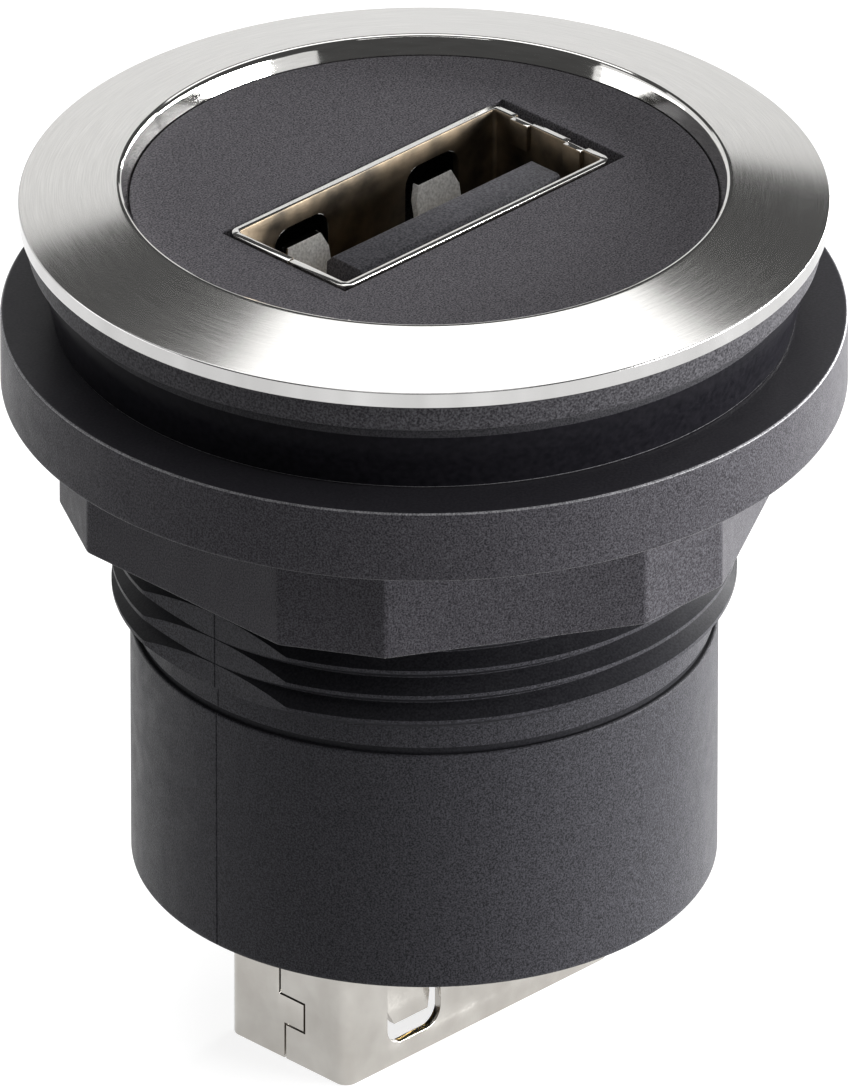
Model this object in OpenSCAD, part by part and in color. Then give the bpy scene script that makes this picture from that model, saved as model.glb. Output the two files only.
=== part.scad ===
// Panel mount USB connector: two upright sockets back to back on a link board,
// carried in a round threaded housing and clamped in a panel hole by a flanged nut.
// Z = 0 is the face of the panel under the sealing ring, +Z points out of the front,
// and X runs along the long side of the sockets.

/* [Panel thread] */
// Outside diameter of the thread
thread_d = 22; // [21.6:0.1:22.4]
// Distance between neighbouring thread crests
thread_pitch = 1; // [0.8:0.05:1.2]
// Depth of the thread
thread_depth = 0.6; // [0.4:0.05:0.7]
// Width of the flat on a thread crest
thread_crest = 0.3; // [0.2:0.05:0.35]
// Number of thread crests below the panel face
thread_turns = 11; // [9:1:13]

/* [Housing] */
// Diameter of the collar under the bezel
collar_d = 27.8; // [27.4:0.1:28.2]
// Height of the collar
collar_h = 1.05; // [0.8:0.05:1.6]
// Width across the two mould flats of the thread
flats_w = 20.85; // [20.5:0.05:21.2]
// Diameter of the plain band below the thread
band_d = 20.5; // [20.3:0.05:20.6]
// Height of the plain band below the thread
band_h = 0.9; // [0.6:0.1:2]
// Width of the groove between band and barrel
groove_w = 0.25; // [0.2:0.05:0.6]
// Depth of the groove
groove_depth = 0.2; // [0.15:0.05:0.5]
// Diameter of the barrel
barrel_d = 20.7; // [20.5:0.05:20.8]
// Length of the housing behind the panel face
rear_len = 21.5; // [19:0.5:24]
// Diameter of the bore that takes the link board
bore_d = 17.8; // [17.4:0.1:18]
// Width of the ledge that carries the link board
ledge_w = 0.8; // [0.5:0.05:0.9]
// Thickness of the rear wall
floor_h = 1.5; // [1:0.1:3]
// Width of the small edge breaks
edge_break = 0.15; // [0.05:0.05:0.2]

/* [Bezel] */
// Outside diameter of the steel bezel
bezel_d = 28.4; // [28.2:0.1:30]
// Diameter of the opening in the bezel
bezel_open_d = 20.7; // [20:0.1:21.2]
// Height of the upright rim of the bezel
bezel_rim_h = 0.65; // [0.5:0.05:1]
// Rise of the cone from the rim to the lip
bezel_rise = 0.78; // [0.6:0.02:1]
// Width of the rounded lip round the opening
lip_w = 0.5; // [0.45:0.05:0.7]
// Lean of the wall inside the lip, in degrees
lip_lean = 15; // [5:1:20]
// Depth of the face below the lip
face_recess = 0.65; // [0.5:0.05:0.7]

/* [Face insert] */
// Reach of the flange under the bezel
flange_reach = 1.15; // [0.8:0.05:1.5]
// Thickness of the flange
flange_h = 0.45; // [0.35:0.05:0.55]
// Wall of the skirt that clamps the link board
skirt_wall = 0.9; // [0.7:0.05:1]
// Extra length of the face opening at one end of the socket
opening_slack = 0.4; // [0:0.05:0.6]

/* [Sealing ring] */
// Diameter of the ring where it meets the panel
seal_d = 26; // [25:0.1:26.4]
// Height of the ring
seal_h = 2.72; // [2:0.02:3.5]
// Bulge of the ring below the collar
seal_bulge = 0.4; // [0.2:0.05:0.5]
// Radius of the ring's upper edge
seal_round = 0.35; // [0.2:0.05:0.5]

/* [Nut] */
// Diameter of the nut flange
nut_flange_d = 29.7; // [28:0.1:31]
// Thickness of the nut flange
nut_flange_h = 2.7; // [2:0.1:4]
// Height of the hexagon below the flange
nut_hex_h = 4.2; // [3:0.1:5]
// Width across the flats of the hexagon
nut_flats = 24; // [23.8:0.1:25]
// Width across the cut corners of the hexagon
nut_corners = 25.5; // [25:0.1:27]
// Width of the lead-in at the rear end of the nut bore
nut_lead = 0.4; // [0.2:0.05:0.5]

/* [Socket shell] */
// Outside width of a socket shell
shell_w = 13.3; // [13:0.05:13.5]
// Outside height of a socket shell
shell_h = 5.84; // [5.6:0.02:6]
// Length of a socket shell from the link board to its mouth
shell_len = 15.45; // [14.6:0.05:16]
// Thickness of the shell sheet
sheet_t = 0.3; // [0.25:0.01:0.35]
// Outside radius of the bent corners
bend_r = 0.45; // [0.4:0.05:0.8]
// Stand of the front mouth above the face
mouth_stand = 0.05; // [0:0.05:0.4]
// Distance of each spring window from the middle of the shell
window_x = 3.25; // [2.8:0.05:3.6]
// Width of a spring window
window_w = 2.65; // [2.4:0.05:3]
// Length of a spring window
window_len = 7.2; // [6:0.1:8]
// Strip of sheet between the mouth and a spring window
window_edge = 0.8; // [0.6:0.05:1.2]
// Radius of the window corners next to the mouth
window_r = 0.7; // [0.4:0.05:1]
// Side gap between a spring finger and its window
finger_gap = 0.25; // [0.15:0.05:0.4]
// Gap between the tip of a spring finger and its window
finger_tip_gap = 0.7; // [0.4:0.05:1]
// Inward bow of a spring finger
finger_bow = 0.45; // [0.3:0.05:0.5]
// Offset of a spring finger's tip from the wall
finger_lift = 0.15; // [0.05:0.05:0.25]
// Width of the seam slit
seam_w = 0.08; // [0.05:0.01:0.12]
// Offset of the seam from the middle of its wall at the mouth
seam_mouth_y = -0.12; // [-0.2:0.01:0.2]
// Offset of the seam along the locking tab
seam_tab_y = 0.83; // [0.6:0.01:1.2]
// Offset of the seam from the locking tab to the link board
seam_foot_y = -0.38; // [-0.6:0.01:0]
// Distance of the locking tab from the mouth
seam_tab_edge = 1.4; // [1:0.1:2]
// Height of the locking tab
seam_tab_h = 1.15; // [0.8:0.05:1.5]
// Width of each pressed tab on the plain end of the mouth
press_w = 0.85; // [0.6:0.05:1]
// Distance of the pressed tabs from the middle of that end
press_y = 1.3; // [1.1:0.05:1.5]
// Length of the pressed tabs along the shell
press_len = 1; // [0.6:0.1:1.5]
// Inward offset of the pressed tabs
press_in = 0.16; // [0.1:0.02:0.2]

/* [Socket inside] */
// Width of the contact tongue
tongue_w = 11.1; // [10.8:0.05:11.4]
// Thickness of the contact tongue
tongue_t = 1.75; // [1.6:0.05:1.9]
// Distance of the tongue's end behind the mouth
tongue_recess = 0.6; // [0.3:0.05:1.5]
// Bevel of the tongue's end
tongue_bevel = 0.3; // [0.1:0.05:0.5]
// Height of the block that closes the shell at the link board
base_h = 3.5; // [3:0.1:5]
// Distance between the two inner contacts
contact_inner = 2; // [1.8:0.1:2.2]
// Distance between the two outer contacts
contact_outer = 7; // [6.6:0.1:7.4]
// Width of a contact blade
contact_w = 1; // [0.8:0.05:1.1]
// Thickness of the contact sheet
contact_t = 0.25; // [0.2:0.01:0.3]
// Distance of the blade's end behind the tongue's end
contact_recess = 1.2; // [0.8:0.1:2]
// Depth of the blade's groove in the tongue
contact_sink = 0.2; // [0.1:0.05:0.25]

/* [Link board] */
// Thickness of the link board
board_t = 1.2; // [1:0.1:1.6]
// Distance of each row of contact tails from the middle of the board
tail_row = 1.25; // [1.15:0.05:1.6]
// Width of a contact tail
tail_w = 0.6; // [0.5:0.05:0.7]
// Distance of each pair of shell legs from the middle of the board
leg_row = 1.5; // [1.3:0.05:1.6]
// Width of a shell leg
leg_w = 1; // [0.8:0.05:1.1]

/* [Fits] */
// Radial play of the nut and the sealing ring on the thread
thread_gap = 0.05; // [0.03:0.01:0.08]
// Play of the parts that slide into the housing and the bezel
slip_gap = 0.05; // [0.03:0.01:0.1]
// Play of a shell in the openings it passes through
shell_gap = 0.1; // [0.05:0.01:0.2]
// Play of the block in its shell and of the contacts in the block
insert_gap = 0.03; // [0.02:0.01:0.05]
// Play of tails and legs in the holes of the link board
hole_gap = 0.1; // [0.05:0.01:0.15]
// Play between a bowed spring finger and the tongue
finger_room = 0.11; // [0.08:0.01:0.2]

/* [Hidden] */
$fn = 96;
// Overrun of a cutting shape past the face that it cuts
overrun = 0.5;
// Straight steps along a small arc and along a spring finger
arc_steps = 6;
finger_steps = 12;
// Share of a spring finger's length at which it bows furthest
finger_crown = 0.75;
thread_r = thread_d / 2;
root_r = thread_r - thread_depth;
thread_len = thread_turns * thread_pitch;
band_r = band_d / 2;
barrel_r = barrel_d / 2;
flat_x = flats_w / 2;
bore_r = bore_d / 2;
collar_r = collar_d / 2;
collar_top = seal_h + collar_h;
groove_top = -thread_len - band_h;
groove_bottom = groove_top - groove_w;
bezel_r = bezel_d / 2;
open_r = bezel_open_d / 2;
edge_z = collar_top + bezel_rim_h;
lip_z = edge_z + bezel_rise;
face_z = lip_z - face_recess;
flange_r = open_r + flange_reach;
flange_top = collar_top + flange_h;
skirt_r = bore_r - slip_gap;
socket_x = -opening_slack / 2;
mouth_z = face_z + mouth_stand;
board_top = mouth_z - shell_len;
board_bottom = board_top - board_t;
inner_w = shell_w - 2 * sheet_t;
inner_h = shell_h - 2 * sheet_t;
finger_w = window_w - 2 * finger_gap;
window_top = shell_len - window_edge;
window_foot = window_top - window_len;
tongue_back = finger_bow + finger_room - inner_h / 2;
tongue_front = tongue_back + tongue_t;
tongue_end = shell_len - tongue_recess;
blade_back = tongue_front - contact_sink;
blade_front = blade_back + contact_t;
blade_end = tongue_end - contact_recess;
bend_z = base_h / 2;
leg_len = board_t - hole_gap;
contact_x = [-contact_outer / 2, -contact_inner / 2, contact_inner / 2, contact_outer / 2];

// Places a socket piece, drawn standing on z = 0, on the front of the link board.
module on_front() {
  translate([socket_x, 0, board_top]) children();
}

// Places a socket piece on the rear of the link board, turned over about X.
module on_rear() {
  translate([socket_x, 0, board_bottom]) rotate([180, 0, 0]) children();
}

// Box given by its low and high corners.
module box(low, high) {
  translate(low) cube(high - low);
}

// Bar of the given width along X, drawn as its side view in Y and Z.
module side_profile(width) {
  rotate([90, 0, 90]) translate([0, 0, -width / 2]) linear_extrude(width) children();
}

// Rectangle with round corners, centred.
module round_rect(w, h, r) {
  square([w - 2 * r, h], center = true);
  square([w, h - 2 * r], center = true);
  for (sx = [-1, 1], sy = [-1, 1])
    translate([sx * (w / 2 - r), sy * (h / 2 - r)]) circle(r = r);
}

// Points of an arc about a centre, from one angle to another.
function arc(centre, r, from, to) = [
  for (step = [0 : arc_steps])
    let (angle = from + (to - from) * step / arc_steps)
    centre + r * [cos(angle), sin(angle)]
];

// Steel ring with an upright rim, a shallow cone and a rounded lip over a leaning wall.
module bezel_ring() {
  lip_r = lip_w / 2;
  wall_h = lip_z - lip_r * (1 - sin(lip_lean)) - face_z;
  lip_x = open_r + wall_h * tan(lip_lean) + lip_r * cos(lip_lean);
  cone_angle = atan((lip_z - edge_z) / (bezel_r - lip_x));
  color("#c9c8c4")
    rotate_extrude()
      polygon(concat(
        [
          [flange_r + slip_gap, collar_top],
          [bezel_r - edge_break, collar_top],
          [bezel_r, collar_top + edge_break],
        ],
        arc([bezel_r - edge_break, edge_z - edge_break], edge_break, 0, 90 - cone_angle),
        arc([lip_x, lip_z - lip_r], lip_r, 90 - cone_angle, 180 - lip_lean),
        [
          [open_r, face_z],
          [open_r, flange_top + slip_gap],
          [flange_r + slip_gap, flange_top + slip_gap],
        ]
      ));
}

// Black face with the socket opening, a flange under the bezel and a clamping skirt.
module face_insert() {
  color("#3b3a3e")
    difference() {
      rotate_extrude()
        polygon([
          [0, face_z],
          [open_r - slip_gap, face_z],
          [open_r - slip_gap, flange_top],
          [flange_r, flange_top],
          [flange_r, collar_top],
          [skirt_r, collar_top],
          [skirt_r, board_top],
          [skirt_r - skirt_wall, board_top],
          [skirt_r - skirt_wall, collar_top],
          [0, collar_top],
        ]);
      translate([0, 0, collar_top - overrun])
        linear_extrude(face_z - collar_top + 2 * overrun)
          square([shell_w + 2 * shell_gap + opening_slack, shell_h + 2 * shell_gap], center = true);
    }
}

// One thread crest as half section points, from its top to the foot of its lower flank.
function crest(top) = [
  [root_r, top],
  [thread_r, top - (thread_pitch - thread_crest) / 2],
  [thread_r, top - (thread_pitch + thread_crest) / 2],
];

// Half section of the housing: collar, neck, thread, band, groove and barrel.
function housing_section() = concat(
  [
    [0, collar_top],
    [collar_r - edge_break, collar_top],
    [collar_r, collar_top - edge_break],
    [collar_r, seal_h + edge_break],
    [collar_r - edge_break, seal_h],
    [thread_r, seal_h],
    [thread_r, 0],
  ],
  [for (turn = [0 : thread_turns - 1]) each crest(-turn * thread_pitch)],
  [
    [root_r, -thread_len],
    [band_r, -thread_len],
    [band_r, groove_top],
    [barrel_r - groove_depth, groove_top],
    [barrel_r - groove_depth, groove_bottom],
    [barrel_r, groove_bottom],
    [barrel_r, edge_break - rear_len],
    [barrel_r - edge_break, -rear_len],
    [0, -rear_len],
  ]
);

// Threaded housing with two mould flats, a ledge for the link board and a rear wall.
module housing() {
  color("#343338")
    difference() {
      rotate_extrude() polygon(housing_section());
      for (side = [-1, 1])
        translate([side * (flat_x + thread_r), 0, -thread_len / 2])
          cube([2 * thread_r, 4 * thread_r, thread_len], center = true);
      translate([0, 0, board_bottom])
        cylinder(h = collar_top - board_bottom + overrun, r = bore_r);
      translate([0, 0, floor_h - rear_len])
        cylinder(h = rear_len - floor_h + board_bottom + overrun, r = bore_r - ledge_w);
      translate([socket_x, 0, -rear_len - overrun])
        linear_extrude(floor_h + 2 * overrun)
          square([shell_w + 2 * shell_gap, shell_h + 2 * shell_gap], center = true);
    }
}

// Soft ring between the collar and the panel, bulging out below the collar.
module sealing_ring() {
  foot_r = seal_d / 2;
  side_h = seal_h - edge_break - seal_round;
  color("#1f1f22")
    rotate_extrude()
      polygon(concat(
        [
          [thread_r + thread_gap, 0],
          [foot_r - edge_break, 0],
        ],
        [
          for (step = [0 : arc_steps - 1])
            let (share = step / arc_steps)
            [foot_r + seal_bulge * sin(90 * share), edge_break + side_h * share]
        ],
        arc([foot_r + seal_bulge - seal_round, seal_h - seal_round], seal_round, 0, 90),
        [[thread_r + thread_gap, seal_h]]
      ));
}

// Hexagon given by its width across the flats, with one flat towards +X.
module hexagon(flats) {
  rotate(30) circle(r = flats / 2 / cos(30), $fn = 6);
}

// Flanged nut whose hexagon has its corners cut off by narrow facets.
module mounting_nut() {
  flange_edge = nut_flange_d / 2;
  nut_h = nut_flange_h + nut_hex_h;
  bore = thread_r + thread_gap;
  color("#3d3c41")
    difference() {
      union() {
        rotate_extrude()
          polygon([
            [0, 0],
            [flange_edge - edge_break, 0],
            [flange_edge, -edge_break],
            [flange_edge, edge_break - nut_flange_h],
            [flange_edge - edge_break, -nut_flange_h],
            [0, -nut_flange_h],
          ]);
        translate([0, 0, -nut_h])
          linear_extrude(nut_h - nut_flange_h / 2)
            intersection() {
              hexagon(nut_flats);
              rotate(30) hexagon(nut_corners);
            }
      }
      translate([0, 0, -nut_h - overrun])
        cylinder(h = nut_h + 2 * overrun, r = bore);
      translate([0, 0, -nut_h - overrun])
        cylinder(h = nut_lead + overrun, r1 = bore + nut_lead + overrun, r2 = bore);
    }
}

// Spring window through the long wall on the +Y side, rounded next to the mouth.
module spring_window() {
  translate([0, shell_h / 2 + overrun, 0])
    rotate([90, 0, 0])
      linear_extrude(sheet_t + 2 * overrun) {
        translate([-window_w / 2, window_foot]) square([window_w, window_len - window_r]);
        translate([window_r - window_w / 2, window_foot])
          square([window_w - 2 * window_r, window_len]);
        for (side = [-1, 1])
          translate([side * (window_w / 2 - window_r), window_top - window_r])
            circle(r = window_r);
      }
}

// Inward bow of a spring finger at a share of its length: a soft rise up to the crown,
// then a turn back towards the wall at the tip.
function finger_in(share) =
  share < finger_crown
    ? finger_bow * (1 - cos(180 * share / finger_crown)) / 2
    : finger_lift
      + (finger_bow - finger_lift) * cos(90 * (share - finger_crown) / (1 - finger_crown));

// Spring finger in that window, bent from the sheet and rooted below the window.
module spring_finger() {
  wall = inner_h / 2;
  reach = window_len - finger_tip_gap;
  shares = [for (step = [0 : finger_steps]) step / finger_steps];
  face = [for (share = shares) [wall - finger_in(share), window_foot + reach * share]];
  back = [for (step = [finger_steps : -1 : 0]) face[step] + [sheet_t, 0]];
  root = window_foot - sheet_t;
  side_profile(finger_w)
    polygon(concat(face, back, [[wall + sheet_t, root], [wall, root]]));
}

// Slit of the folded seam in the wall on the -X side, stepping round its locking tab.
module seam_slit() {
  tab_top = shell_len - seam_tab_edge;
  tab_foot = tab_top - seam_tab_h;
  half = seam_w / 2;
  out = -shell_w / 2 - overrun;
  in = -inner_w / 2 + overrun;
  box([out, seam_mouth_y - half, tab_top - half], [in, seam_mouth_y + half, shell_len + overrun]);
  box([out, seam_mouth_y - half, tab_top - half], [in, seam_tab_y + half, tab_top + half]);
  box([out, seam_tab_y - half, tab_foot - half], [in, seam_tab_y + half, tab_top + half]);
  box([out, seam_foot_y - half, tab_foot - half], [in, seam_tab_y + half, tab_foot + half]);
  box([out, seam_foot_y - half, -overrun], [in, seam_foot_y + half, tab_foot + half]);
}

// Folded sheet shell with spring fingers, a locked seam, pressed tabs and two legs.
module socket_shell() {
  color("#bdb9b1") {
    difference() {
      linear_extrude(shell_len)
        difference() {
          round_rect(shell_w, shell_h, bend_r);
          round_rect(inner_w, inner_h, bend_r - sheet_t);
        }
      for (wall = [0, 180], side = [-1, 1])
        rotate(wall) translate([side * window_x, 0, 0]) spring_window();
      seam_slit();
      for (side = [-1, 1])
        box([shell_w / 2 - press_in, side * press_y - press_w / 2, shell_len - press_len],
            [shell_w / 2 + overrun, side * press_y + press_w / 2, shell_len + overrun]);
    }
    for (wall = [0, 180], side = [-1, 1])
      rotate(wall) translate([side * window_x, 0, 0]) spring_finger();
    for (side = [-1, 1])
      box([inner_w / 2 - press_in, side * press_y - press_w / 2, shell_len - press_len],
          [shell_w / 2 - press_in, side * press_y + press_w / 2, shell_len]);
    for (side = [-1, 1])
      translate([side * (shell_w - sheet_t) / 2, leg_row, 0])
        box([-sheet_t / 2, -leg_w / 2, -leg_len], [sheet_t / 2, leg_w / 2, leg_w]);
  }
}

// Room that one contact takes in the block and the tongue, with play all round.
module contact_room() {
  half_tail = contact_t / 2 + insert_gap;
  back = blade_back - insert_gap;
  low = bend_z - insert_gap;
  high = bend_z + contact_t + insert_gap;
  side_profile(contact_w + 2 * insert_gap) {
    translate([tail_row - half_tail, -overrun]) square([2 * half_tail, high + overrun]);
    translate([back, low]) square([tail_row + half_tail - back, high - low]);
    translate([back, low]) square([contact_t + 2 * insert_gap, base_h + overrun - low]);
    translate([back, base_h]) square([tongue_t, blade_end + insert_gap - base_h]);
  }
}

// Moulded block that closes the shell, with the tongue that carries the contacts.
module socket_insulator() {
  color("#2a2b31")
    difference() {
      union() {
        linear_extrude(base_h)
          round_rect(inner_w - 2 * insert_gap, inner_h - 2 * insert_gap, bend_r - sheet_t);
        side_profile(tongue_w)
          polygon([
            [tongue_back, base_h / 2],
            [tongue_front, base_h / 2],
            [tongue_front, tongue_end - tongue_bevel],
            [tongue_front - tongue_bevel, tongue_end],
            [tongue_back + tongue_bevel / 2, tongue_end],
            [tongue_back, tongue_end - tongue_bevel / 2],
          ]);
      }
      for (x = contact_x) translate([x, 0, 0]) contact_room();
    }
}

// Contact strip: a blade on the tongue, a bend inside the block and a tail in the board.
module socket_contact(index) {
  half_tail = contact_t / 2;
  color("#c9a24a")
    translate([contact_x[index], 0, 0]) {
      side_profile(contact_w)
        polygon([
          [tail_row - half_tail, 0],
          [tail_row + half_tail, 0],
          [tail_row + half_tail, bend_z + contact_t],
          [blade_front, bend_z + contact_t],
          [blade_front, blade_end],
          [blade_back, blade_end],
          [blade_back, bend_z],
          [tail_row - half_tail, bend_z],
        ]);
      box([-tail_w / 2, tail_row - half_tail, -leg_len],
          [tail_w / 2, tail_row + half_tail, bend_z]);
    }
}

// Round board that joins the sockets, drilled for the tails and legs of both.
module link_board() {
  tail_hole = norm([tail_w, contact_t]) / 2 + hole_gap;
  leg_hole = norm([leg_w, sheet_t]) / 2 + hole_gap;
  color("#2f5d3a")
    difference() {
      translate([0, 0, board_bottom]) cylinder(h = board_t, r = bore_r - slip_gap);
      translate([socket_x, 0, board_bottom - overrun])
        for (row = [-1, 1]) {
          for (x = contact_x)
            translate([x, row * tail_row, 0]) cylinder(h = board_t + 2 * overrun, r = tail_hole);
          for (side = [-1, 1])
            translate([side * (shell_w - sheet_t) / 2, row * leg_row, 0])
              cylinder(h = board_t + 2 * overrun, r = leg_hole);
        }
    }
}

bezel_ring();
face_insert();
housing();
sealing_ring();
mounting_nut();
on_front() socket_shell();  // front_shell
on_front() socket_insulator();  // front_insulator
on_front() socket_contact(0);  // front_contact_1
on_front() socket_contact(1);  // front_contact_2
on_front() socket_contact(2);  // front_contact_3
on_front() socket_contact(3);  // front_contact_4
link_board();
on_rear() socket_shell();  // rear_shell
on_rear() socket_insulator();  // rear_insulator
on_rear() socket_contact(0);  // rear_contact_1
on_rear() socket_contact(1);  // rear_contact_2
on_rear() socket_contact(2);  // rear_contact_3
on_rear() socket_contact(3);  // rear_contact_4
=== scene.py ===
import math

import bmesh
import bpy
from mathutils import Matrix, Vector


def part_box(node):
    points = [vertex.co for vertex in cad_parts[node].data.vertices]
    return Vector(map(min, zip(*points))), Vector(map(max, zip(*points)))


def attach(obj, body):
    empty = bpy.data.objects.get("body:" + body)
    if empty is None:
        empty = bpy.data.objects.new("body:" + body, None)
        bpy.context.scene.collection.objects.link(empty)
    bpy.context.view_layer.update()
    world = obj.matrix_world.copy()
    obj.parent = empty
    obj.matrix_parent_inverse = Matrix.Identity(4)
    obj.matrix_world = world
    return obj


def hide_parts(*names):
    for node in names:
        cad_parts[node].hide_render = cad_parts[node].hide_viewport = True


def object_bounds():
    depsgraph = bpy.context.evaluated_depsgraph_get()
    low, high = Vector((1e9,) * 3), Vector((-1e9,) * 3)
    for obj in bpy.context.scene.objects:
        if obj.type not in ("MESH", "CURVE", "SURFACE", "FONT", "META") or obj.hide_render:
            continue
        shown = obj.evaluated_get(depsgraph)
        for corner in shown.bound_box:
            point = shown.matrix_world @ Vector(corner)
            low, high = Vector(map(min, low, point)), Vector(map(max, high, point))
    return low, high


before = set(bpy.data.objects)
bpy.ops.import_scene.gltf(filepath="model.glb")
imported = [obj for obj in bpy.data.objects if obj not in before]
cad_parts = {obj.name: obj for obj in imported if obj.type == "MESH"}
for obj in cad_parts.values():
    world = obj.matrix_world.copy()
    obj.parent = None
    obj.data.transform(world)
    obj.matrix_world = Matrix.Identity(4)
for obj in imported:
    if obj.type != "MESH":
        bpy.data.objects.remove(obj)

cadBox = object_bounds()  # box of the bare solids, before anything is dressed
scene = bpy.context.scene
scene.view_settings.view_transform = "Standard"
mm = 0.001
tiny = 1e-6  # keeps divisions away from zero
print("frame loaded:", len(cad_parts), "nodes")


# Camera: long lens from the near left, looking down on the bezel
cameraSetup = {
    "azimuth": -45.3,
    "elevation": 29.0,
    "distance": 1200.0,  # mm
    "lens": 1130.0,
    "sensor": 36.0,
    "clip": (0.01, 10.0),  # m
    "target": (0.058, -0.129, -9.388),  # mm
}


def directionOf(azimuth, elevation):
    turn, rise = math.radians(azimuth), math.radians(elevation)
    level = math.cos(rise)
    return Vector((math.sin(turn) * level, -math.cos(turn) * level, math.sin(rise)))


def aim(holder, place, target):
    holder.location = place
    holder.rotation_euler = (target - place).to_track_quat("-Z", "Y").to_euler()


def makeCamera(setup):
    lens = bpy.data.cameras.new("photoCamera")
    lens.lens = setup["lens"]
    lens.sensor_width = setup["sensor"]
    lens.clip_start, lens.clip_end = setup["clip"]
    holder = bpy.data.objects.new("photoCamera", lens)
    scene.collection.objects.link(holder)
    target = Vector(setup["target"]) * mm
    away = directionOf(setup["azimuth"], setup["elevation"])
    aim(holder, target + away * setup["distance"] * mm, target)
    scene.camera = holder


makeCamera(cameraSetup)
print("camera placed")


# Finishes: small node tools first, then one function for each kind of surface
def newFinish(name, metallic=0.0):
    finish = bpy.data.materials.new(name)
    finish.use_nodes = True
    tree = finish.node_tree
    shader = tree.nodes["Principled BSDF"]
    shader.inputs["Metallic"].default_value = metallic
    return finish, tree, shader


def objectCoords(tree):
    return tree.nodes.new("ShaderNodeTexCoord").outputs["Object"]


def grain(tree, size, detail=2.0, coords=None):
    # cloudy value about 0.5 whose features are the given size in millimetres
    noise = tree.nodes.new("ShaderNodeTexNoise")
    noise.inputs["Scale"].default_value = 1 / (size * mm)
    noise.inputs["Detail"].default_value = detail
    tree.links.new(coords or objectCoords(tree), noise.inputs["Vector"])
    return noise.outputs["Fac"]


def between(tree, value, low, high, fromLow=0.3, fromHigh=0.7):
    scale = tree.nodes.new("ShaderNodeMapRange")
    scale.inputs["From Min"].default_value = fromLow
    scale.inputs["From Max"].default_value = fromHigh
    scale.inputs["To Min"].default_value = low
    scale.inputs["To Max"].default_value = high
    tree.links.new(value, scale.inputs["Value"])
    return scale.outputs["Result"]


def colourBetween(tree, value, dark, light, fromLow=0.3, fromHigh=0.7):
    ramp = tree.nodes.new("ShaderNodeValToRGB")
    ends = ramp.color_ramp.elements
    ends[0].position, ends[1].position = fromLow, fromHigh
    ends[0].color, ends[1].color = (*dark, 1), (*light, 1)
    tree.links.new(value, ramp.inputs["Fac"])
    return ramp.outputs["Color"]


def combine(tree, operation, first, second):
    maths = tree.nodes.new("ShaderNodeMath")
    maths.operation = operation
    for socket, value in zip(maths.inputs, (first, second)):
        if isinstance(value, (int, float)):
            socket.default_value = value
        else:
            tree.links.new(value, socket)
    return maths.outputs["Value"]


def relief(tree, shader, height, depth):
    bump = tree.nodes.new("ShaderNodeBump")
    bump.inputs["Strength"].default_value = 1.0
    bump.inputs["Distance"].default_value = depth * mm
    tree.links.new(height, bump.inputs["Height"])
    tree.links.new(bump.outputs["Normal"], shader.inputs["Normal"])


def vectorStep(tree, operation, vector):
    step = tree.nodes.new("ShaderNodeVectorMath")
    step.operation = operation
    tree.links.new(vector, step.inputs[0])
    return step


def turningCoords(tree, spread):
    # radius and direction round Z, so that a noise runs round in rings without a seam
    flat = vectorStep(tree, "MULTIPLY", objectCoords(tree))
    flat.inputs[1].default_value = (1, 1, 0)
    length = vectorStep(tree, "LENGTH", flat.outputs["Vector"])
    unit = vectorStep(tree, "NORMALIZE", flat.outputs["Vector"])
    reach = vectorStep(tree, "SCALE", unit.outputs["Vector"])
    reach.inputs["Scale"].default_value = spread * mm
    parts = tree.nodes.new("ShaderNodeSeparateXYZ")
    tree.links.new(reach.outputs["Vector"], parts.inputs[0])
    joined = tree.nodes.new("ShaderNodeCombineXYZ")
    tree.links.new(length.outputs["Value"], joined.inputs["X"])
    tree.links.new(parts.outputs["X"], joined.inputs["Y"])
    tree.links.new(parts.outputs["Y"], joined.inputs["Z"])
    return joined.outputs["Vector"]


def coverFrom(tree, shader, value, dark, light, roughness, depth):
    # one noise gives the colour, the roughness and the relief
    tree.links.new(colourBetween(tree, value, dark, light), shader.inputs["Base Color"])
    tree.links.new(between(tree, value, *roughness), shader.inputs["Roughness"])
    relief(tree, shader, value, depth)


def turnedSteel(name, dark, light, grainSize, detail, spread, roughness, depth, anisotropy=0.0):
    finish, tree, shader = newFinish(name, metallic=1.0)
    if anisotropy:
        shader.inputs["Anisotropic"].default_value = anisotropy
        tangent = tree.nodes.new("ShaderNodeTangent")
        tangent.direction_type = "RADIAL"
        tangent.axis = "Z"
        tree.links.new(tangent.outputs["Tangent"], shader.inputs["Tangent"])
    lathe = grain(tree, grainSize, detail, turningCoords(tree, spread))
    coverFrom(tree, shader, lathe, dark, light, roughness, depth)
    return finish


def plainFinish(name, dark, light, grainSize, detail, roughness, depth, metallic=0.0, shine=0.5):
    finish, tree, shader = newFinish(name, metallic)
    shader.inputs["Specular IOR Level"].default_value = shine
    coverFrom(tree, shader, grain(tree, grainSize, detail), dark, light, roughness, depth)
    return finish


sheetWear = {
    "pitSize": 0.07,
    "pitDepth": 0.002,
    "dulling": 0.12,  # most that wear adds to the roughness
    "range": (0.12, 0.4),  # values of the wear between which it does
}


def nickelSheet(name, dark, light, cloudSize, gloss, metallic=1.0, wear=sheetWear):
    finish, tree, shader = newFinish(name, metallic)
    clouds = grain(tree, cloudSize, 4.0)
    pits = grain(tree, wear["pitSize"])
    tree.links.new(colourBetween(tree, clouds, dark, light), shader.inputs["Base Color"])
    worn = between(
        tree, combine(tree, "MULTIPLY", clouds, pits), gloss, gloss + wear["dulling"], *wear["range"],
    )
    tree.links.new(worn, shader.inputs["Roughness"])
    relief(tree, shader, combine(tree, "ADD", pits, clouds), wear["pitDepth"])
    return finish


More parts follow.
